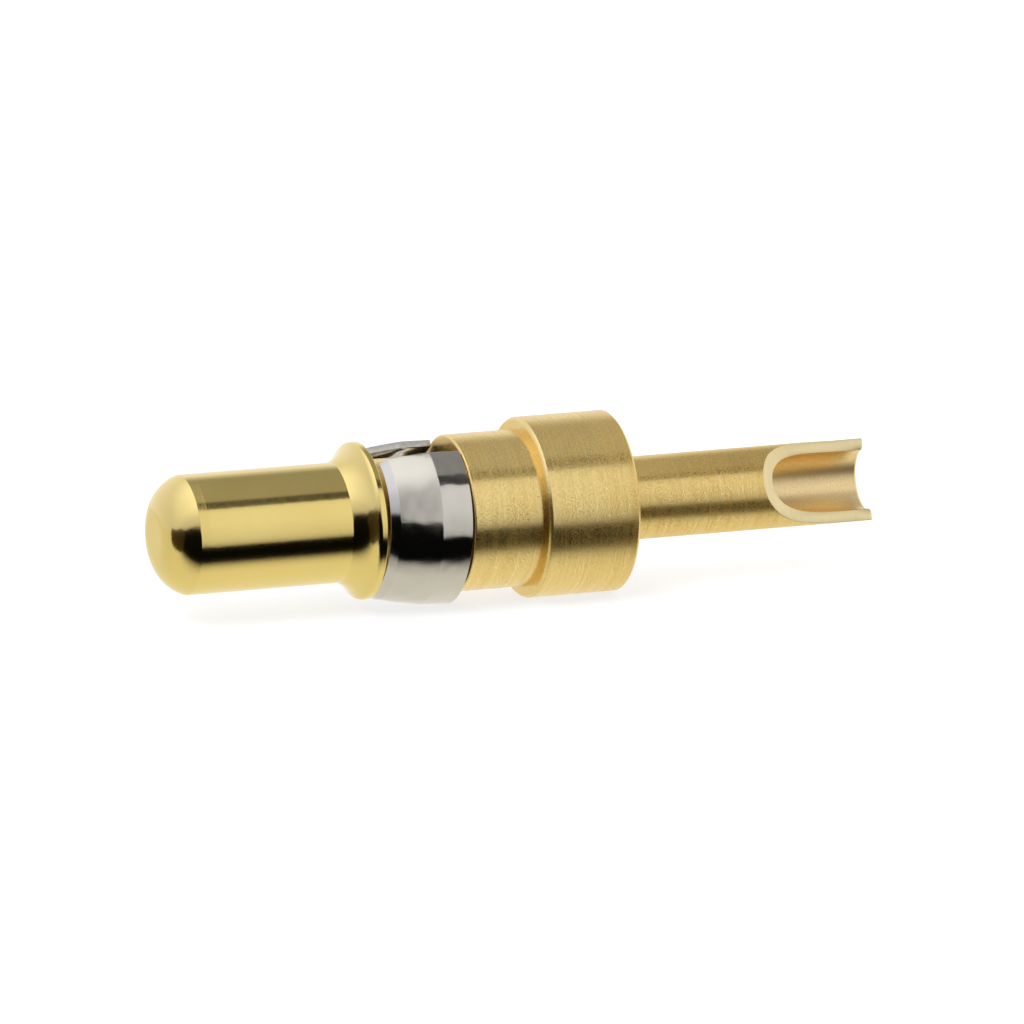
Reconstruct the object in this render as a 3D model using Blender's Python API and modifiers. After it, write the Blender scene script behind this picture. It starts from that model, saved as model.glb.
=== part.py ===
"""Solder cup pin contact with a split retention clip, lying on its side.

The contact is one turned, drilled and side-milled piece. The clip is one strip of spring sheet, rolled into
an open ring that hangs loose in the contact's groove. Units are metres, +Z is up and the pin points to -X.
Stations run along the contact's axis, from the tip of the pin to the end of the solder cup.
"""
import bpy
import bmesh
from math import acos, cos, pi, radians, sin, tan
from mathutils import Matrix, Vector

MM = 0.001

# Pin: a rounded nose, a short lead-in taper and the plain contact length
PIN_RADIUS = 1.80 * MM
PIN_LENGTH = 5.67 * MM
NOSE_CORNER_RADIUS = 1.30 * MM
NOSE_CORNER_SWEEP = radians(71)
LEAD_IN_LENGTH = 0.30 * MM
LEAD_IN_RISE = 0.025 * MM

# Flange: a dished flare, a rounded crest and a narrow land
FLANGE_RADIUS = 2.36 * MM
FLARE_LENGTH = 0.60 * MM
FLARE_SWEEP = radians(27)
CREST_LENGTH = 0.12 * MM
CREST_DROP = 0.07 * MM
CREST_SWEEP = radians(50)
LAND_LENGTH = 0.17 * MM

# Groove: the neck that the clip turns on, and the play that the clip has there
NECK_RADIUS = 1.80 * MM
CLIP_END_PLAY = 0.29 * MM
CLIP_NECK_PLAY = 0.17 * MM

# Shoulder and collar: the seat that locates the contact in its insulator
SHOULDER_RADIUS = 2.355 * MM
SHOULDER_LENGTH = 2.26 * MM
SHOULDER_CHAMFER = 0.06 * MM
COLLAR_RADIUS = 2.715 * MM
COLLAR_LENGTH = 2.91 * MM
COLLAR_LEAD_LENGTH = 0.10 * MM
COLLAR_LEAD_DEPTH = 0.09 * MM
COLLAR_LEAD_SWEEP = radians(50)
COLLAR_CHAMFER = 0.08 * MM

# Tail: a thin shank, drilled from its end and milled open on one side
TAIL_RADIUS = 1.25 * MM
TAIL_LENGTH = 8.35 * MM
TAIL_EDGE_BREAK = 0.04 * MM
CUP_WALL = 0.35 * MM
CUP_DEPTH = 4.70 * MM
DRILL_POINT = radians(118)
MOUTH_CHAMFER = 0.07 * MM
MILL_RADIUS = 4.82 * MM
MILL_RUN_OUT = 0.53 * MM
MILL_PAST_AXIS = 0.045 * MM
CUP_FACES_UP = radians(21.5)

# Clip: a turned-in lip, a barrel that swells towards the rear and a nearly straight rear band
CLIP_SHEET = 0.20 * MM
CLIP_LENGTH = 2.46 * MM
LIP_LENGTH = 0.24 * MM
LIP_RISE = 0.15 * MM
BARREL_LENGTH = 1.30 * MM
BARREL_RISE = 0.20 * MM
BARREL_SWEEP = radians(4)
BAND_RISE = 0.02 * MM
GAP_NEAR = radians(24.8)
GAP_FAR = radians(32.4)
CLIP_DROP = 0.115 * MM
CLIP_TILT = radians(2.6)

# Facets
TURN_STEPS = 72
RAMP_STEPS = 16
MERGE = 1e-7
CUT_MERGE = 2e-6
SMOOTH_ANGLE = radians(28)

# Stations along the axis
FLANGE_START = PIN_LENGTH
FLANGE_END = FLANGE_START + FLARE_LENGTH + CREST_LENGTH + LAND_LENGTH
GROOVE_LENGTH = CLIP_LENGTH + CLIP_END_PLAY
SHOULDER_START = FLANGE_END + GROOVE_LENGTH
COLLAR_START = SHOULDER_START + SHOULDER_LENGTH
TAIL_START = COLLAR_START + COLLAR_LENGTH
TAIL_END = TAIL_START + TAIL_LENGTH

# A flat of the faceted collar lies on the floor, under the middle of the contact's length
AXIS_HEIGHT = COLLAR_RADIUS * cos(pi / TURN_STEPS)
ALONG_AXIS = Matrix.Translation((-TAIL_END / 2, 0, AXIS_HEIGHT)) @ Matrix.Rotation(-pi / 2, 4, "Y")


def clear_scene():
    for obj in list(bpy.data.objects):
        bpy.data.objects.remove(obj, do_unlink=True)


def new_collection(name):
    group = bpy.data.collections.new(name)
    bpy.context.scene.collection.children.link(group)
    return group


def new_object(name, mesh, group, place):
    obj = bpy.data.objects.new(name, mesh)
    group.objects.link(obj)
    obj.matrix_world = place
    return obj


def metal(name, colour, roughness):
    material = bpy.data.materials.new(name)
    material.use_nodes = True
    shader = material.node_tree.nodes["Principled BSDF"]
    shader.inputs["Base Color"].default_value = (*colour, 1)
    shader.inputs["Metallic"].default_value = 1.0
    shader.inputs["Roughness"].default_value = roughness
    return material


def arc(start, end, sweep, steps):
    """Points on the arc from start to end, as (station, radius); a positive sweep steepens on the way."""
    start, end = Vector(start), Vector(end)
    chord = end - start
    left = Vector((-chord.y, chord.x))
    centre = (start + end) / 2 + left / (2 * tan(sweep / 2))
    turns = [Matrix.Rotation(sweep * i / steps, 2) for i in range(steps + 1)]
    return [tuple(centre + turn @ (start - centre)) for turn in turns]


def outline_mesh(name, outline):
    """An open outline of (station, radius) points, standing in the local XZ plane with its front at the top."""
    mesh = bpy.data.meshes.new(name)
    points = [(radius, 0, -station) for station, radius in outline]
    mesh.from_pydata(points, [(i, i + 1) for i in range(len(points) - 1)], [])
    return mesh


def add_turn(obj, angle, steps):
    turn = obj.modifiers.new("turn", "SCREW")
    turn.angle = angle
    turn.steps = turn.render_steps = steps
    turn.use_merge_vertices = True
    turn.merge_threshold = MERGE


def settle(obj, material):
    """Keeps the modelled shape as a plain mesh, smooth over its curves and sharp at its edges."""
    evaluated = obj.evaluated_get(bpy.context.evaluated_depsgraph_get())
    mesh = bpy.data.meshes.new_from_object(evaluated)
    obj.modifiers.clear()
    obj.data = mesh
    mesh.name = obj.name
    mesh.materials.clear()
    mesh.materials.append(material)
    mesh.shade_smooth()
    mesh.set_sharp_from_angle(angle=SMOOTH_ANGLE)


def nose_outline():
    corner_end = NOSE_CORNER_RADIUS * (1 - cos(NOSE_CORNER_SWEEP))
    lead_in_radius = PIN_RADIUS - LEAD_IN_RISE
    flat_radius = lead_in_radius - NOSE_CORNER_RADIUS * sin(NOSE_CORNER_SWEEP)
    corner = arc((0, flat_radius), (corner_end, lead_in_radius), -NOSE_CORNER_SWEEP, 8)
    return [(0, 0), *corner, (corner_end + LEAD_IN_LENGTH, PIN_RADIUS)]


def flange_outline():
    flare_end = (FLANGE_START + FLARE_LENGTH, FLANGE_RADIUS - CREST_DROP)
    crest_end = (flare_end[0] + CREST_LENGTH, FLANGE_RADIUS)
    flare = arc((FLANGE_START, PIN_RADIUS), flare_end, FLARE_SWEEP, 6)
    crest = arc(flare_end, crest_end, -CREST_SWEEP, 4)
    return [*flare, *crest[1:], (FLANGE_END, FLANGE_RADIUS)]


def neck_outline():
    return [(FLANGE_END, NECK_RADIUS), (SHOULDER_START, NECK_RADIUS)]


def shoulder_outline():
    return [
        (SHOULDER_START, SHOULDER_RADIUS - SHOULDER_CHAMFER),
        (SHOULDER_START + SHOULDER_CHAMFER, SHOULDER_RADIUS),
        (COLLAR_START, SHOULDER_RADIUS),
    ]


def collar_outline():
    lead_start = (COLLAR_START, COLLAR_RADIUS - COLLAR_LEAD_DEPTH)
    lead_end = (COLLAR_START + COLLAR_LEAD_LENGTH, COLLAR_RADIUS)
    lead = arc(lead_start, lead_end, -COLLAR_LEAD_SWEEP, 4)
    return [*lead, (TAIL_START - COLLAR_CHAMFER, COLLAR_RADIUS), (TAIL_START, COLLAR_RADIUS - COLLAR_CHAMFER)]


def tail_outline():
    """The shank's outside, its end face and the drilled cup, back to the axis at the drill's point."""
    bore_radius = TAIL_RADIUS - CUP_WALL
    bore_start = TAIL_END - CUP_DEPTH
    return [
        (TAIL_START, TAIL_RADIUS),
        (TAIL_END - TAIL_EDGE_BREAK, TAIL_RADIUS),
        (TAIL_END, TAIL_RADIUS - TAIL_EDGE_BREAK),
        (TAIL_END, bore_radius + MOUTH_CHAMFER),
        (TAIL_END - MOUTH_CHAMFER, bore_radius),
        (bore_start, bore_radius),
        (bore_start - bore_radius / tan(DRILL_POINT / 2), 0),
    ]


def cup_cutter(group):
    """The milling cutter's sweep: a floor just past the axis, rising on the cutter's own radius to the outside."""
    clear = TAIL_RADIUS / 2
    floor_start = TAIL_END - MILL_RUN_OUT
    top = TAIL_RADIUS + clear
    rise = top + MILL_PAST_AXIS
    rise_angle = acos(1 - rise / MILL_RADIUS)
    ramp_start = (floor_start - MILL_RADIUS * sin(rise_angle), top)
    ramp = arc(ramp_start, (floor_start, -MILL_PAST_AXIS), rise_angle, RAMP_STEPS)
    outline = [*ramp, (TAIL_END + clear, -MILL_PAST_AXIS), (TAIL_END + clear, top)]

    half_width = TAIL_RADIUS + clear
    bm = bmesh.new()
    side = bm.faces.new([bm.verts.new((height, -half_width, -station)) for station, height in outline])
    swept = bmesh.ops.extrude_face_region(bm, geom=[side])["geom"]
    moved = [v for v in swept if isinstance(v, bmesh.types.BMVert)]
    bmesh.ops.translate(bm, verts=moved, vec=(0, 2 * half_width, 0))
    bmesh.ops.recalc_face_normals(bm, faces=bm.faces)
    mesh = bpy.data.meshes.new("cup_cutter")
    bm.to_mesh(mesh)
    bm.free()

    open_side = Matrix.Rotation(CUP_FACES_UP - pi / 2, 4, "Z")
    cutter = new_object("cup_cutter", mesh, group, ALONG_AXIS @ open_side)
    cutter.hide_render = True
    cutter.display_type = "WIRE"
    return cutter


def contact_body(group, cutters):
    outline = [
        *nose_outline(),
        *flange_outline(),
        *neck_outline(),
        *shoulder_outline(),
        *collar_outline(),
        *tail_outline(),
    ]
    flat_down = Matrix.Rotation(pi / TURN_STEPS, 4, "Z")
    body = new_object("contact_body", outline_mesh("contact_body", outline), group, ALONG_AXIS @ flat_down)
    add_turn(body, 2 * pi, TURN_STEPS)
    cut = body.modifiers.new("cup_opening", "BOOLEAN")
    cut.operation = "DIFFERENCE"
    cut.solver = "EXACT"
    cut.object = cup_cutter(cutters)
    weld = body.modifiers.new("close_points", "WELD")
    weld.merge_threshold = CUT_MERGE
    settle(body, metal("gold_plated_brass", (0.78, 0.56, 0.22), 0.22))
    return body


def clip_outline():
    """The sheet's outer side from the lip to the rear edge, with stations from the middle of the clip."""
    front = -CLIP_LENGTH / 2
    lip_radius = NECK_RADIUS + CLIP_NECK_PLAY + CLIP_SHEET
    crease = (front + LIP_LENGTH, lip_radius + LIP_RISE)
    bend = (crease[0] + BARREL_LENGTH, crease[1] + BARREL_RISE)
    barrel = arc(crease, bend, -BARREL_SWEEP, 4)
    return [(front, lip_radius), *barrel, (CLIP_LENGTH / 2, bend[1] + BAND_RISE)]


def retention_clip(group):
    """The clip hangs from the neck by its play and tips until it nearly meets both ends of the groove."""
    pivot = bpy.data.objects.new("clip_pivot", None)
    group.objects.link(pivot)
    groove_middle = (FLANGE_END + SHOULDER_START) / 2
    pivot.matrix_world = Matrix.Translation((groove_middle - TAIL_END / 2, 0, AXIS_HEIGHT))

    wrap = 2 * pi - GAP_NEAR - GAP_FAR
    steps = round(TURN_STEPS * wrap / (2 * pi))
    hang = Matrix.Translation((0, 0, -CLIP_DROP)) @ Matrix.Rotation(CLIP_TILT, 4, "Y")
    roll = Matrix.Rotation(-pi / 2, 4, "Y") @ Matrix.Rotation(GAP_FAR, 4, "Z")
    mesh = outline_mesh("retention_clip", clip_outline())
    clip = new_object("retention_clip", mesh, group, Matrix.Identity(4))
    clip.parent = pivot
    clip.matrix_world = pivot.matrix_world @ hang @ roll
    add_turn(clip, wrap, steps)
    wall = clip.modifiers.new("sheet", "SOLIDIFY")
    wall.thickness = CLIP_SHEET
    wall.offset = -1
    wall.use_even_offset = True
    settle(clip, metal("nickel_plated_spring_steel", (0.72, 0.72, 0.70), 0.16))
    return clip


clear_scene()
parts = new_collection("solder_cup_pin_contact")
cutters = new_collection("cutters")
contact_body(parts, cutters)
retention_clip(parts)
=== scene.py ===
"""Solder cup pin contact: the finished surfaces of the turned body and its retention clip, and a plain white studio.

Units are metres in the part's own frame: +X runs from the pin to the solder cup and +Z is up.
"""
import bpy
import bmesh
from math import acos, cos, pi, radians, sin, tan
from mathutils import Matrix, Vector


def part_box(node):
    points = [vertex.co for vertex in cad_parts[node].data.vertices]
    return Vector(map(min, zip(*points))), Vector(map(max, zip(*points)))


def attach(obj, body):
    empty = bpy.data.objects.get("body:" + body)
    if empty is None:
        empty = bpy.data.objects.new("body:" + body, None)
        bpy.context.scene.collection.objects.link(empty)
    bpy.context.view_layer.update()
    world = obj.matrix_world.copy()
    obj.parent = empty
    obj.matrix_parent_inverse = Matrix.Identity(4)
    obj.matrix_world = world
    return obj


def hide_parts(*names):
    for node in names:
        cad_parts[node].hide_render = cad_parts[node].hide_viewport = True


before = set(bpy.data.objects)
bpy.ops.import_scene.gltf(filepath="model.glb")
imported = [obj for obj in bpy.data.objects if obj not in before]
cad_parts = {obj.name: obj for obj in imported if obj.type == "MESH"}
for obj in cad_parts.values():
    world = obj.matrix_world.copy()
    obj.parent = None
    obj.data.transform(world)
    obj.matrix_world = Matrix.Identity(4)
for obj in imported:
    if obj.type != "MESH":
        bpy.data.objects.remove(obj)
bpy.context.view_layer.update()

# Contact body. One bar of free-cutting brass, turned in one go, drilled from its tail end and milled open there
# on one side to take the wire and its solder. It is plated with nickel and gold: the pin and flange are polished
# before plating, the rest keeps the satin surface of the tumbling drum.
MM = 0.001
body_low, body_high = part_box("contact_body")
axis_height = (body_low.z + body_high.z) / 2

pin_radius, pin_length = 1.80 * MM, 5.67 * MM
nose_corner, nose_sweep = 1.30 * MM, radians(71)
lead_in_length, lead_in_rise = 0.30 * MM, 0.006 * MM
flange_radius, flare_length, flare_sweep = 2.36 * MM, 0.60 * MM, radians(40)
crest_length, crest_drop, crest_sweep = 0.12 * MM, 0.07 * MM, radians(50)
land_length = 0.17 * MM
neck_radius, groove_length = 1.80 * MM, 2.75 * MM
shoulder_radius, shoulder_length, shoulder_round = 2.355 * MM, 2.26 * MM, 0.06 * MM
collar_radius, collar_length, collar_chamfer = 2.715 * MM, 2.91 * MM, 0.08 * MM
collar_lead_length, collar_lead_depth, collar_lead_sweep = 0.10 * MM, 0.09 * MM, radians(50)
tail_radius, tail_length = 1.25 * MM, 8.35 * MM
cup_wall, cup_depth, drill_point, mouth_chamfer = 0.35 * MM, 4.70 * MM, radians(118), 0.07 * MM
mill_radius, mill_run_out, mill_past_axis, cup_faces_up = 4.82 * MM, 0.53 * MM, 0.045 * MM, radians(21.5)
edge_round, soft_edge, broken_edge = 0.035 * MM, 0.02 * MM, 0.022 * MM
support_gap = 0.008 * MM
turn_steps, weld, sharp_angle = 240, 1e-8, radians(32)

flange_start = pin_length
crest_start = flange_start + flare_length
land_start = crest_start + crest_length
flange_end = land_start + land_length
shoulder_start = flange_end + groove_length
collar_start = shoulder_start + shoulder_length
tail_start = collar_start + collar_length
tail_end = tail_start + tail_length


def arc(start, end, sweep, steps):
    """Points on the arc from start to end, as (station, radius); a positive sweep steepens on the way."""
    start, end = Vector(start), Vector(end)
    chord = end - start
    centre = (start + end) / 2 + Vector((-chord.y, chord.x)) / (2 * tan(sweep / 2))
    turns = [Matrix.Rotation(sweep * i / steps, 2) for i in range(steps + 1)]
    return [tuple(centre + turn @ (start - centre)) for turn in turns]


def rounded(before, corner, after, radius, steps=4):
    """The points that round a corner between its two neighbours."""
    corner = Vector(corner)
    back, ahead = (Vector(before) - corner).normalized(), (Vector(after) - corner).normalized()
    half = back.angle(ahead) / 2
    centre = corner + (back + ahead).normalized() * radius / sin(half)
    first, last = corner + back * radius / tan(half) - centre, corner + ahead * radius / tan(half) - centre
    return [tuple(centre + first.slerp(last, i / steps) * radius) for i in range(steps + 1)]


def supported(outline):
    """The outline with a point just inside both ends of each long stretch, which keeps it straight when shaded."""
    points = [outline[0]]
    for start, end in zip(outline, outline[1:]):
        step = Vector(end) - Vector(start)
        if step.length > 6 * support_gap:
            inset = step.normalized() * support_gap
            points += [tuple(Vector(start) + inset), tuple(Vector(end) - inset)]
        points.append(end)
    return points


def new_piece(name, bm, *materials):
    mesh = bpy.data.meshes.new(name)
    bm.to_mesh(mesh)
    bm.free()
    for material in materials:
        mesh.materials.append(material)
    piece = bpy.data.objects.new(name, mesh)
    bpy.context.scene.collection.objects.link(piece)
    return piece


def applied(piece):
    """Makes the piece's modifiers part of its mesh."""
    shape = bpy.data.meshes.new_from_object(piece.evaluated_get(bpy.context.evaluated_depsgraph_get()))
    piece.modifiers.clear()
    piece.data = shape


corner_end = nose_corner * (1 - cos(nose_sweep))
lead_in_radius = pin_radius - lead_in_rise
flat_radius = lead_in_radius - nose_corner * sin(nose_sweep)
crest_radius = flange_radius - crest_drop
nose = [(0, 0), *arc((0, flat_radius), (corner_end, lead_in_radius), -nose_sweep, 48)]
pin = [(corner_end + lead_in_length, pin_radius)]
flare = arc((flange_start, pin_radius), (crest_start, crest_radius), flare_sweep, 20)
crest = arc((crest_start, crest_radius), (land_start, flange_radius), -crest_sweep, 10)[1:]
land = rounded((land_start, flange_radius), (flange_end, flange_radius), (flange_end, neck_radius), edge_round)
groove = [(flange_end, neck_radius), (shoulder_start, neck_radius)]
shoulder_edge = (shoulder_start, shoulder_radius)
shoulder = rounded(groove[-1], shoulder_edge, (collar_start, shoulder_radius), shoulder_round, 6)
lead = arc(
    (collar_start, collar_radius - collar_lead_depth),
    (collar_start + collar_lead_length, collar_radius),
    -collar_lead_sweep,
    12,
)
chamfer_top = (tail_start - collar_chamfer, collar_radius)
chamfer_foot = (tail_start, collar_radius - collar_chamfer)
collar = [
    *rounded(lead[-1], chamfer_top, chamfer_foot, soft_edge, 2),
    *rounded(chamfer_top, chamfer_foot, (tail_start, tail_radius), soft_edge, 2),
]
tail_edge = (tail_end, tail_radius)
bore_radius = tail_radius - cup_wall
mouth = (tail_end, bore_radius + mouth_chamfer)
tail = [(tail_start, tail_radius), *rounded((tail_start, tail_radius), tail_edge, mouth, edge_round), mouth]
bore_start = tail_end - cup_depth
bore = [
    (tail_end - mouth_chamfer, bore_radius),
    (bore_start, bore_radius),
    (bore_start - bore_radius / tan(drill_point / 2), 0),
]
shoulder_end = [(collar_start, shoulder_radius)]
front = [*nose, *pin, *flare, *crest, *land, *groove]
outline = supported([*front, *shoulder, *shoulder_end, *lead, *collar, *tail, *bore])

bm = bmesh.new()
points = [bm.verts.new((body_low.x + station, 0, axis_height + radius)) for station, radius in outline]
for start, end in zip(points, points[1:]):
    bm.edges.new((start, end))
bmesh.ops.spin(
    bm,
    geom=bm.verts[:] + bm.edges[:],
    cent=(0, 0, axis_height),
    axis=(1, 0, 0),
    angle=2 * pi,
    steps=turn_steps,
    use_merge=True,
)
bmesh.ops.remove_doubles(bm, verts=bm.verts, dist=weld)
bmesh.ops.recalc_face_normals(bm, faces=bm.faces)

POLISHED, SATIN, BORED, MILLED = range(4)
for face in bm.faces:
    middle = face.calc_center_median()
    station = middle.x - body_low.x
    from_axis = Vector((0, middle.y, middle.z - axis_height)).length
    face.material_index = POLISHED if station < flange_end - support_gap else SATIN
    if from_axis < bore_radius + mouth_chamfer and station > bore_start - tail_radius:
        face.material_index = BORED


def linear(code, alpha=1.0):
    """A colour written as sRGB hex, as the shader's linear values."""
    parts = [int(code[i:i + 2], 16) / 255 for i in (1, 3, 5)]
    return (*[p / 12.92 if p <= 0.04045 else ((p + 0.055) / 1.055) ** 2.4 for p in parts], alpha)


def add(tree, kind, inputs={}, **settings):
    """Adds a node. An input is a value, or the output socket that feeds it."""
    node = tree.nodes.new(kind)
    for name, value in settings.items():
        setattr(node, name, value)
    for name, value in inputs.items():
        if isinstance(value, bpy.types.NodeSocket):
            tree.links.new(value, node.inputs[name])
        else:
            node.inputs[name].default_value = value
    return node


def new_material(name):
    material = bpy.data.materials.new(name)
    material.use_nodes = True
    material.node_tree.nodes.clear()
    return material, material.node_tree


# Polished gold plate: a mirror with a faint haze, turning marks too fine to feel and a tone that drifts slightly.
gold_tone, gold_deep = "#EDD78C", "#E3C878"
polished_gold, tree = new_material("polished_gold_plate")
here = add(tree, "ShaderNodeTexCoord").outputs["Object"]
rings = add(tree, "ShaderNodeMapping", {"Vector": here, "Scale": (1, 0.03, 0.03)}).outputs["Vector"]
drift = add(tree, "ShaderNodeTexNoise", {"Vector": here, "Scale": 1 / (2.2 * MM), "Detail": 2.0}).outputs["Fac"]
tone = add(
    tree,
    "ShaderNodeMix",
    {"Factor": drift, "A": linear(gold_tone), "B": linear(gold_deep)},
    data_type="RGBA",
)
turning = add(tree, "ShaderNodeTexNoise", {"Vector": rings, "Scale": 1 / (0.05 * MM), "Detail": 3.0}).outputs["Fac"]
haze = add(tree, "ShaderNodeTexNoise", {"Vector": here, "Scale": 1 / (0.12 * MM), "Detail": 4.0}).outputs["Fac"]
rough = add(tree, "ShaderNodeMapRange", {"Value": haze, "To Min": 0.10, "To Max": 0.17}).outputs["Result"]
marks = add(tree, "ShaderNodeBump", {"Height": turning, "Strength": 0.5, "Distance": 0.0016 * MM}).outputs["Normal"]
grain = add(
    tree,
    "ShaderNodeBump",
    {"Height": haze, "Strength": 0.5, "Distance": 0.0022 * MM, "Normal": marks},
).outputs["Normal"]
surface = add(
    tree,
    "ShaderNodeBsdfPrincipled",
    {"Base Color": tone.outputs["Result"], "Metallic": 1.0, "Roughness": rough, "Normal": grain},
)
add(tree, "ShaderNodeOutputMaterial", {"Surface": surface.outputs["BSDF"]})

# Satin gold plate: the tumbled surface. Between bright flats lie pits of about 15 micrometres, rougher and of a deeper
# gold. They are too fine to tell apart and blend into a satin that lifts the dark reflections to brown; the free tail
# has more of them. Slight dents make the reflections' edges uneven, and fine rings from the turning run round it.
satin_tone, satin_deep, pit_tone = "#F8E5A8", "#EFD68E", "#E2B450"
satin_gold, tree = new_material("satin_gold_plate")
here = add(tree, "ShaderNodeTexCoord").outputs["Object"]
rings = add(tree, "ShaderNodeMapping", {"Vector": here, "Scale": (1, 0.02, 0.02)}).outputs["Vector"]
along = add(tree, "ShaderNodeSeparateXYZ", {"Vector": here}).outputs["X"]
more_pits = add(
    tree,
    "ShaderNodeMapRange",
    {
        "Value": along,
        "From Min": body_low.x + tail_start - collar_length / 2,
        "From Max": body_low.x + tail_start,
        "To Min": 0.0,
        "To Max": 0.045,
    },
).outputs["Result"]
drift = add(tree, "ShaderNodeTexNoise", {"Vector": here, "Scale": 1 / (1.6 * MM), "Detail": 3.0}).outputs["Fac"]
tumbled = add(tree, "ShaderNodeTexNoise", {"Vector": here, "Scale": 1 / (0.015 * MM), "Detail": 1.0}).outputs["Fac"]
dented = add(tree, "ShaderNodeTexNoise", {"Vector": here, "Scale": 1 / (0.05 * MM), "Detail": 2.0}).outputs["Fac"]
scored = add(tree, "ShaderNodeTexNoise", {"Vector": rings, "Scale": 1 / (0.08 * MM), "Detail": 2.0}).outputs["Fac"]
ringed = add(
    tree,
    "ShaderNodeMapRange",
    {"Value": scored, "From Min": 0.3, "From Max": 0.7, "To Min": -0.035, "To Max": 0.035},
).outputs["Result"]
uneven = add(tree, "ShaderNodeMath", operation="ADD")
tree.links.new(ringed, uneven.inputs[0])
tree.links.new(more_pits, uneven.inputs[1])
depth = add(tree, "ShaderNodeMath", operation="ADD")
tree.links.new(tumbled, depth.inputs[0])
tree.links.new(uneven.outputs["Value"], depth.inputs[1])
pits = add(
    tree,
    "ShaderNodeMapRange",
    {"Value": depth.outputs["Value"], "From Min": 0.42, "From Max": 0.70, "To Min": 0.0, "To Max": 1.0},
).outputs["Result"]
flat_tone = add(
    tree,
    "ShaderNodeMix",
    {"Factor": drift, "A": linear(satin_tone), "B": linear(satin_deep)},
    data_type="RGBA",
)
tone = add(
    tree,
    "ShaderNodeMix",
    {"Factor": pits, "A": flat_tone.outputs["Result"], "B": linear(pit_tone)},
    data_type="RGBA",
)
rough = add(tree, "ShaderNodeMapRange", {"Value": pits, "To Min": 0.14, "To Max": 0.62}).outputs["Result"]
score = add(tree, "ShaderNodeBump", {"Height": scored, "Strength": 0.8, "Distance": 0.0026 * MM}).outputs["Normal"]
grain = add(
    tree,
    "ShaderNodeBump",
    {"Height": dented, "Strength": 1.0, "Distance": 0.0022 * MM, "Normal": score},
).outputs["Normal"]
surface = add(
    tree,
    "ShaderNodeBsdfPrincipled",
    {"Base Color": tone.outputs["Result"], "Metallic": 1.0, "Roughness": rough, "Normal": grain},
)
add(tree, "ShaderNodeOutputMaterial", {"Surface": surface.outputs["BSDF"]})

# Bored gold plate: the drill's rings inside the cup, bright ridges with a rough, deep gold between them.
ridge_tone, hollow_tone = "#FFF0C4", "#F6CC7C"
bored_gold, tree = new_material("bored_gold_plate")
here = add(tree, "ShaderNodeTexCoord").outputs["Object"]
rings = add(tree, "ShaderNodeMapping", {"Vector": here, "Scale": (1, 0.35, 0.35)}).outputs["Vector"]
drilling = add(tree, "ShaderNodeTexNoise", {"Vector": rings, "Scale": 1 / (0.022 * MM), "Detail": 2.0}).outputs["Fac"]
hollows = add(tree, "ShaderNodeMapRange", {"Value": drilling, "From Min": 0.18, "From Max": 0.86}).outputs["Result"]
rough = add(tree, "ShaderNodeMapRange", {"Value": hollows, "To Min": 0.28, "To Max": 0.56}).outputs["Result"]
tone = add(
    tree,
    "ShaderNodeMix",
    {"Factor": hollows, "A": linear(ridge_tone), "B": linear(hollow_tone)},
    data_type="RGBA",
)
grooves = add(tree, "ShaderNodeBump", {"Height": drilling, "Strength": 1.0, "Distance": 0.0005 * MM}).outputs["Normal"]
surface = add(
    tree,
    "ShaderNodeBsdfPrincipled",
    {"Base Color": tone.outputs["Result"], "Metallic": 1.0, "Roughness": rough, "Normal": grooves},
)
add(tree, "ShaderNodeOutputMaterial", {"Surface": surface.outputs["BSDF"]})

# Milled gold plate: the cut faces of the cup, paler and duller, with the cutter's lines across them.
milled_tone, milled_deep = "#F8E9BC", "#EFD9A0"
milled_gold, tree = new_material("milled_gold_plate")
here = add(tree, "ShaderNodeTexCoord").outputs["Object"]
lines = add(tree, "ShaderNodeMapping", {"Vector": here, "Scale": (1, 0.15, 0.15)}).outputs["Vector"]
milling = add(tree, "ShaderNodeTexNoise", {"Vector": lines, "Scale": 1 / (0.06 * MM), "Detail": 3.0}).outputs["Fac"]
tone = add(
    tree,
    "ShaderNodeMix",
    {"Factor": milling, "A": linear(milled_tone), "B": linear(milled_deep)},
    data_type="RGBA",
)
ridges = add(tree, "ShaderNodeBump", {"Height": milling, "Strength": 1.0, "Distance": 0.006 * MM}).outputs["Normal"]
surface = add(
    tree,
    "ShaderNodeBsdfPrincipled",
    {"Base Color": tone.outputs["Result"], "Metallic": 1.0, "Roughness": 0.42, "Normal": ridges},
)
add(tree, "ShaderNodeOutputMaterial", {"Surface": surface.outputs["BSDF"]})

contact = new_piece("contact_body_plated", bm, polished_gold, satin_gold, bored_gold, milled_gold)

# The side mill's path is cut away: a floor just past the axis that rises on the cutter's own radius.
clear = tail_radius / 2
floor_start = tail_end - mill_run_out
top = tail_radius + clear
rise_angle = acos(1 - (top + mill_past_axis) / mill_radius)
ramp_start = (floor_start - mill_radius * sin(rise_angle), top)
ramp = arc(ramp_start, (floor_start, -mill_past_axis), rise_angle, 60)
mill_path = [*ramp, (tail_end + clear, -mill_past_axis), (tail_end + clear, top)]
to_axis = Matrix.Translation((body_low.x, 0, axis_height))
open_side = Matrix.Rotation(pi / 2 - cup_faces_up, 4, "X")

bm = bmesh.new()
side = bm.faces.new([bm.verts.new((station, -top, height)) for station, height in mill_path])
swept = bmesh.ops.extrude_face_region(bm, geom=[side])["geom"]
bmesh.ops.translate(bm, verts=[v for v in swept if isinstance(v, bmesh.types.BMVert)], vec=(0, 2 * top, 0))
bmesh.ops.recalc_face_normals(bm, faces=bm.faces)
bmesh.ops.transform(bm, matrix=to_axis @ open_side, verts=bm.verts)
for face in bm.faces:
    face.material_index = MILLED
mill = new_piece("mill_path", bm, polished_gold, satin_gold, bored_gold, milled_gold)

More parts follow.
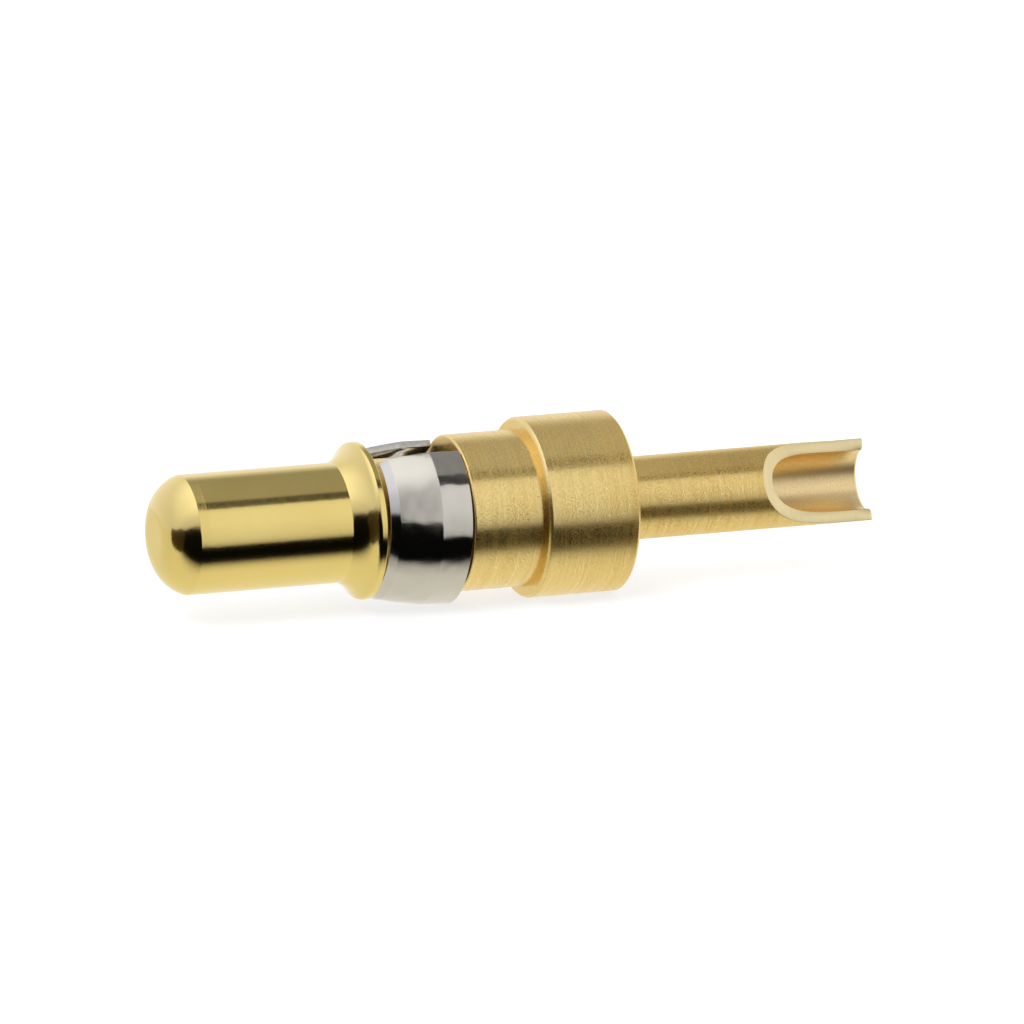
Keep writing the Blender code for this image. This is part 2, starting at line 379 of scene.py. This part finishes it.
cut = contact.modifiers.new("cup_opening", "BOOLEAN")
cut.operation = "DIFFERENCE"
cut.solver = "EXACT"
cut.object = mill
applied(contact)
bpy.data.objects.remove(mill)

# The cut's edges are broken by the tumbling.
bm = bmesh.new()
bm.from_mesh(contact.data)
cut_edges = [
    edge
    for edge in bm.edges
    if len(edge.link_faces) == 2 and sorted(f.material_index == MILLED for f in edge.link_faces) == [False, True]
]
bmesh.ops.bevel(
    bm,
    geom=cut_edges,
    offset=broken_edge,
    offset_type="OFFSET",
    affect="EDGES",
    segments=2,
    profile=0.5,
    material=-1,
    clamp_overlap=False,
)
bm.to_mesh(contact.data)
bm.free()
contact.data.shade_smooth()
contact.data.set_sharp_from_angle(angle=sharp_angle)
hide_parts("contact_body")
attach(contact, "contact")

# Retention clip. One strip of spring steel, rolled into a ring that is left open by a gap, so that it can spring
# in and snap behind a step in the insulator. It has a turned-in lip at the front, a swelling barrel and a plain
# rear band, and is plated with bright nickel. It hangs loose in the groove, a little low and tipped.
clip_sheet, clip_length = 0.20 * MM, 2.46 * MM
lip_length, lip_rise, lip_play = 0.24 * MM, 0.15 * MM, 0.17 * MM
barrel_length, barrel_rise, barrel_sweep, band_rise = 1.30 * MM, 0.20 * MM, radians(4), 0.02 * MM
gap_near, gap_far = radians(24.8), radians(32.4)
clip_drop, clip_tilt = 0.115 * MM, radians(2.6)
sheared_round, sheared_angle = 0.035 * MM, radians(50)
clip_steps = 200

clip_front = -clip_length / 2
lip_radius = neck_radius + lip_play + clip_sheet
crease = (clip_front + lip_length, lip_radius + lip_rise)
bend = (crease[0] + barrel_length, crease[1] + barrel_rise)
rear_edge = (clip_length / 2, bend[1] + band_rise)
clip_outline = supported([(clip_front, lip_radius), *arc(crease, bend, -barrel_sweep, 40), rear_edge])
groove_middle = body_low.x + (flange_end + shoulder_start) / 2

bm = bmesh.new()
points = [bm.verts.new((station, 0, radius)) for station, radius in clip_outline]
for start, end in zip(points, points[1:]):
    bm.edges.new((start, end))
bmesh.ops.rotate(bm, verts=bm.verts, matrix=Matrix.Rotation(gap_near, 3, "X"))
bmesh.ops.spin(
    bm,
    geom=bm.verts[:] + bm.edges[:],
    axis=(1, 0, 0),
    angle=2 * pi - gap_near - gap_far,
    steps=clip_steps,
)
bmesh.ops.remove_doubles(bm, verts=bm.verts, dist=weld)
bmesh.ops.recalc_face_normals(bm, faces=bm.faces)
if sum(face.normal.dot(face.calc_center_median() * Vector((0, 1, 1))) for face in bm.faces) < 0:
    bmesh.ops.reverse_faces(bm, faces=bm.faces)
hang = Matrix.Translation((groove_middle, 0, axis_height - clip_drop)) @ Matrix.Rotation(clip_tilt, 4, "Y")
bmesh.ops.transform(bm, matrix=hang, verts=bm.verts)

# Bright nickel on rolled strip: soft waves from the rolling and a fine haze. The sheared edges, which the rolls
# don't reach, are duller and finely mottled, and their lighter tone is partly a painted highlight for their glint.
nickel_tone, nickel_deep = "#D0CCC4", "#C3BEB3"
bright_nickel, tree = new_material("bright_nickel_on_spring_strip")
here = add(tree, "ShaderNodeTexCoord").outputs["Object"]
waves = add(tree, "ShaderNodeTexNoise", {"Vector": here, "Scale": 1 / (0.9 * MM), "Detail": 1.0}).outputs["Fac"]
haze = add(tree, "ShaderNodeTexNoise", {"Vector": here, "Scale": 1 / (0.10 * MM), "Detail": 4.0}).outputs["Fac"]
tone = add(
    tree,
    "ShaderNodeMix",
    {"Factor": waves, "A": linear(nickel_tone), "B": linear(nickel_deep)},
    data_type="RGBA",
)
rough = add(tree, "ShaderNodeMapRange", {"Value": haze, "To Min": 0.08, "To Max": 0.15}).outputs["Result"]
rolling = add(tree, "ShaderNodeBump", {"Height": waves, "Strength": 1.0, "Distance": 0.04 * MM}).outputs["Normal"]
grain = add(
    tree,
    "ShaderNodeBump",
    {"Height": haze, "Strength": 0.6, "Distance": 0.0015 * MM, "Normal": rolling},
).outputs["Normal"]
surface = add(
    tree,
    "ShaderNodeBsdfPrincipled",
    {"Base Color": tone.outputs["Result"], "Metallic": 1.0, "Roughness": rough, "Normal": grain},
)
add(tree, "ShaderNodeOutputMaterial", {"Surface": surface.outputs["BSDF"]})

# Painted highlight: the sheared edges' light tone is lighter than the nickel, so that the clip's edges show a glint.
sheared_tone_and_glint, sheared_deep = "#E4E2DC", "#BEBAB0"
edge_nickel_and_glint, tree = new_material("sheared_nickel_edge_and_glint")
here = add(tree, "ShaderNodeTexCoord").outputs["Object"]
mottle = add(tree, "ShaderNodeTexNoise", {"Vector": here, "Scale": 1 / (0.12 * MM), "Detail": 3.0}).outputs["Fac"]
tone = add(
    tree,
    "ShaderNodeMix",
    {"Factor": mottle, "A": linear(sheared_tone_and_glint), "B": linear(sheared_deep)},
    data_type="RGBA",
)
rough = add(tree, "ShaderNodeMapRange", {"Value": mottle, "To Min": 0.34, "To Max": 0.48}).outputs["Result"]
torn = add(tree, "ShaderNodeBump", {"Height": mottle, "Strength": 1.0, "Distance": 0.006 * MM}).outputs["Normal"]
surface = add(
    tree,
    "ShaderNodeBsdfPrincipled",
    {"Base Color": tone.outputs["Result"], "Metallic": 1.0, "Roughness": rough, "Normal": torn},
)
add(tree, "ShaderNodeOutputMaterial", {"Surface": surface.outputs["BSDF"]})

clip = new_piece("retention_clip_rolled", bm, bright_nickel, edge_nickel_and_glint)
wall = clip.modifiers.new("sheet", "SOLIDIFY")
wall.thickness = clip_sheet
wall.offset = -1
wall.use_even_offset = True
wall.material_offset_rim = 1
edges = clip.modifiers.new("sheared_edges", "BEVEL")
edges.width = sheared_round
edges.segments = 2
edges.limit_method = "ANGLE"
edges.angle_limit = sheared_angle
applied(clip)
clip.data.shade_smooth()
clip.data.set_sharp_from_angle(angle=sharp_angle)
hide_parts("retention_clip")
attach(clip, "clip")

# Floor: a wide white sheet that the contact lies on. It shows as white with the contact's soft shadow, and the
# metal doesn't mirror it, so that the cards below the horizon show in the metal as they do in a light tent.
floor_half, sheet_tone, sheet_seen, sheet_lift = 3.0, "#E8E8E8", "#9A9A9A", 0.75


def seen_ray(tree):
    """1 for a ray from the camera, or one that metal or glass sends on, and 0 for the light that falls on things."""
    ray = add(tree, "ShaderNodeLightPath").outputs
    mirrored = add(tree, "ShaderNodeMath", operation="MAXIMUM")
    tree.links.new(ray["Is Glossy Ray"], mirrored.inputs[0])
    tree.links.new(ray["Is Transmission Ray"], mirrored.inputs[1])
    seen = add(tree, "ShaderNodeMath", operation="MAXIMUM")
    tree.links.new(ray["Is Camera Ray"], seen.inputs[0])
    tree.links.new(mirrored.outputs["Value"], seen.inputs[1])
    return seen.outputs["Value"]


bm = bmesh.new()
bmesh.ops.create_grid(bm, x_segments=1, y_segments=1, size=floor_half)
floor_paint, tree = new_material("white_sheet")
paper = add(tree, "ShaderNodeBsdfDiffuse", {"Color": linear(sheet_tone)})
shaded = add(tree, "ShaderNodeBsdfDiffuse", {"Color": linear(sheet_seen)})
lift = add(tree, "ShaderNodeEmission", {"Color": (1, 1, 1, 1), "Strength": sheet_lift})
both = add(tree, "ShaderNodeAddShader")
tree.links.new(shaded.outputs["BSDF"], both.inputs[0])
tree.links.new(lift.outputs["Emission"], both.inputs[1])
choice = add(tree, "ShaderNodeMixShader", {"Fac": seen_ray(tree)})
tree.links.new(paper.outputs["BSDF"], choice.inputs[1])
tree.links.new(both.outputs["Shader"], choice.inputs[2])
add(tree, "ShaderNodeOutputMaterial", {"Surface": choice.outputs["Shader"]})
floor = new_piece("floor", bm, floor_paint)
floor.visible_glossy = False

# Cards: the light tent's panels and gaps, far round the contact, which only its mirror surfaces see. A place on
# them is an angle round the contact's axis, from straight up towards the camera's side, and a reach along the
# axis towards the solder cup. The metal shows their edges as its bright and dark bands. The levels were listed
# after readings of how bright the photo's metal is in each direction that it mirrors.
card_distance = 0.6
black = 0.003


def card(name, rows, tint=(1, 1, 1), across=12, along=4):
    """A curved card through rows of (angle, reach from, reach to, brightness from, brightness to)."""
    bm = bmesh.new()
    bmesh.ops.create_grid(bm, x_segments=along * (len(rows) - 1), y_segments=across, size=1)
    level = bm.verts.layers.float.new("level")
    for vert in bm.verts:
        place = min((vert.co.x + 1) / 2 * (len(rows) - 1), len(rows) - 1.0001)
        before, after, share = rows[int(place)], rows[int(place) + 1], place % 1
        angle, first, last, dim, bright = [p + (q - p) * share for p, q in zip(before, after)]
        over = (vert.co.y + 1) / 2
        angle, reach = radians(angle), radians(first + (last - first) * over)
        vert[level] = dim + (bright - dim) * over
        vert.co = Vector((sin(reach), -cos(reach) * sin(angle), cos(reach) * cos(angle))) * card_distance
    paint, tree = new_material(name)
    level = add(tree, "ShaderNodeAttribute", attribute_name="level").outputs["Fac"]
    glow = add(tree, "ShaderNodeEmission", {"Color": (*tint, 1), "Strength": level})
    add(tree, "ShaderNodeOutputMaterial", {"Surface": glow.outputs["Emission"]})
    sheet = new_piece(name, bm, paint)
    sheet.visible_camera = False
    sheet.visible_diffuse = False
    sheet.visible_shadow = False


card(
    "grey_ceiling",
    [
        (-62, 13, 40, 0.85, 0.85),
        (-52, 13, 40, 0.62, 0.60),
        (-44, 13, 40, 0.41, 0.20),
        (-20, 14, 40, 0.41, 0.18),
        (17, 14, 40, 0.41, 0.18),
    ],
)
card("ceiling_seam", [(17, 14, 78, 0.09, 0.09), (25, 15, 78, 0.05, 0.05), (32, 16, 78, 0.09, 0.09)])
card(
    "front_panel",
    [
        (32, 18, 78, 0.90, 0.90),
        (40, 18, 78, 1.00, 1.00),
        (60, 18, 78, 1.00, 1.00),
        (76, 18, 78, 0.93, 0.93),
        (91, 18, 78, 0.83, 0.83),
        (99, 18, 78, 0.68, 0.68),
        (105, 18, 78, 0.34, 0.34),
    ],
)
card(
    "front_panel_edge",
    [
        (32, 16, 18, 0.80, 0.90),
        (40, 6, 18, 0.68, 1.00),
        (60, 2, 18, 0.60, 1.00),
        (76, 1, 18, 0.66, 0.93),
        (84, 8, 18, 0.76, 0.88),
        (91, 11, 18, 0.80, 0.83),
        (99, 13, 18, 0.63, 0.68),
        (105, 17, 18, 0.30, 0.34),
    ],
)
card(
    "left_panel",
    [
        (-95, -74, -8, 0.78, 1.06),
        (-62, -78, -8, 0.76, 1.00),
        (-46, -82, -8, 0.78, 0.95),
        (-30, -83, -8, 0.76, 1.12),
        (-14, -83, -8, 0.76, 1.34),
        (20, -82, -8, 0.74, 1.38),
        (33, -79, -8, 0.72, 1.20),
        (44, -74, -8, 0.70, 0.94),
        (54, -68, -8, 0.68, 0.80),
        (60, -64, -8, 0.56, 0.64),
        (63, -60, -8, 0.03, 0.45),
        (68, -26, -8, 0.02, 0.40),
        (76, -10, -8, 0.02, 0.40),
    ],
    tint=(0.99, 1.01, 1.16),
)
card(
    "left_panel_edge",
    [
        (-95, -8, 13, 1.06, 1.06),
        (-62, -8, 13, 1.00, 0.98),
        (-46, -8, 13, 0.95, 0.96),
        (-30, -8, 14, 1.12, 1.20),
        (-14, -8, 14, 1.34, 1.36),
        (8, -8, 14, 1.36, 1.38),
        (20, -8, 14, 1.30, 1.20),
        (32, -8, 16, 1.10, 0.80),
        (40, -8, 6, 0.98, 0.74),
        (54, -8, 3, 0.76, 0.55),
        (60, -8, 2, 0.66, 0.55),
        (68, -8, 1, 0.42, 0.48),
        (76, -8, 1, 0.10, 0.45),
        (84, 7, 8, 0.30, 0.50),
    ],
)
card(
    "far_left",
    [
        (-95, -90, -74, 0.05, 0.06),
        (-62, -90, -78, 0.05, 0.06),
        (-46, -90, -82, 0.05, 0.06),
        (20, -90, -82, 0.05, 0.06),
        (44, -90, -74, 0.05, 0.06),
        (62, -90, -61, 0.05, 0.05),
        (100, -90, -66, 0.05, 0.03),
        (134, -90, -62, 0.05, 0.04),
        (150, -90, -66, 0.05, 0.05),
        (172, -90, -72, 0.05, 0.06),
        (265, -90, -74, 0.05, 0.06),
    ],
    tint=(1, 0.72, 0.35),
)
card(
    "dark_room",
    [
        (60, -64, -64, black, black),
        (63, -61, -60, black, black),
        (68, -62, -26, black, black),
        (76, -63, -10, black, black),
        (84, -64, 7, black, black),
        (91, -65, 11, black, black),
        (99, -66, 13, black, black),
        (105, -66, 17, black, black),
    ],
)
card("dark_floor_edge", [(105, -66, 78, black, black), (128, -63, 78, black, black), (134, -62, 78, 0.01, 0.01)])
card(
    "low_panel",
    [
        (134, -62, 78, 0.01, 0.02),
        (139, -64, 78, 0.12, 0.36),
        (144, -65, 78, 0.30, 0.74),
        (150, -66, 78, 0.50, 0.96),
        (160, -69, 78, 0.72, 1.04),
        (172, -72, 78, 0.84, 1.00),
        (195, -74, 78, 0.86, 1.02),
        (265, -74, 78, 0.78, 1.14),
    ],
    tint=(1, 0.98, 0.88),
)

# World: white, a little below full for what falls on the contact.
world = bpy.data.worlds.new("studio")
bpy.context.scene.world = world
world.use_nodes = True
tree = world.node_tree
tree.nodes.clear()
white = add(tree, "ShaderNodeMapRange", {"Value": seen_ray(tree), "To Min": 0.94, "To Max": 1.0}).outputs["Result"]
sky = add(tree, "ShaderNodeBackground", {"Color": (1, 1, 1, 1), "Strength": white})
add(tree, "ShaderNodeOutputWorld", {"Surface": sky.outputs["Background"]})

# Softbox: high on the left in front, for the shadow's direction.
lamp_width, lamp_power, lamp_distance = 0.5, 3.0, 0.8
lamp = bpy.data.lights.new("softbox", "AREA")
lamp.shape = "DISK"
lamp.size = lamp_width
lamp.energy = lamp_power
lamp_object = bpy.data.objects.new("softbox", lamp)
bpy.context.scene.collection.objects.link(lamp_object)
lamp_direction = Vector((-0.5, -0.45, 0.75)).normalized()
lamp_object.location = lamp_direction * lamp_distance
lamp_object.rotation_euler = lamp_direction.to_track_quat("Z", "Y").to_euler()
lamp_object.visible_glossy = False

# Camera: the photograph's angle, from the front left and a little above, with a long lens.
view_azimuth, view_elevation, view_distance = radians(-20.8), radians(12.5), 0.537
view_station, lens_length, picture_width = 11.216 * MM, 631.5, 1024
target = Vector((body_low.x + view_station, 0, axis_height))
back = Vector((
    sin(view_azimuth) * cos(view_elevation),
    -cos(view_azimuth) * cos(view_elevation),
    sin(view_elevation),
))
camera = bpy.data.cameras.new("camera")
camera.lens = lens_length
camera.shift_x = 5 / picture_width
camera.shift_y = -3.65 / picture_width
camera.clip_start = 0.01
camera.clip_end = 10
camera_object = bpy.data.objects.new("camera", camera)
bpy.context.scene.collection.objects.link(camera_object)
camera_object.location = target + back * view_distance
camera_object.rotation_euler = back.to_track_quat("Z", "Y").to_euler()
bpy.context.scene.camera = camera_object

bpy.context.scene.view_settings.view_transform = "Standard"
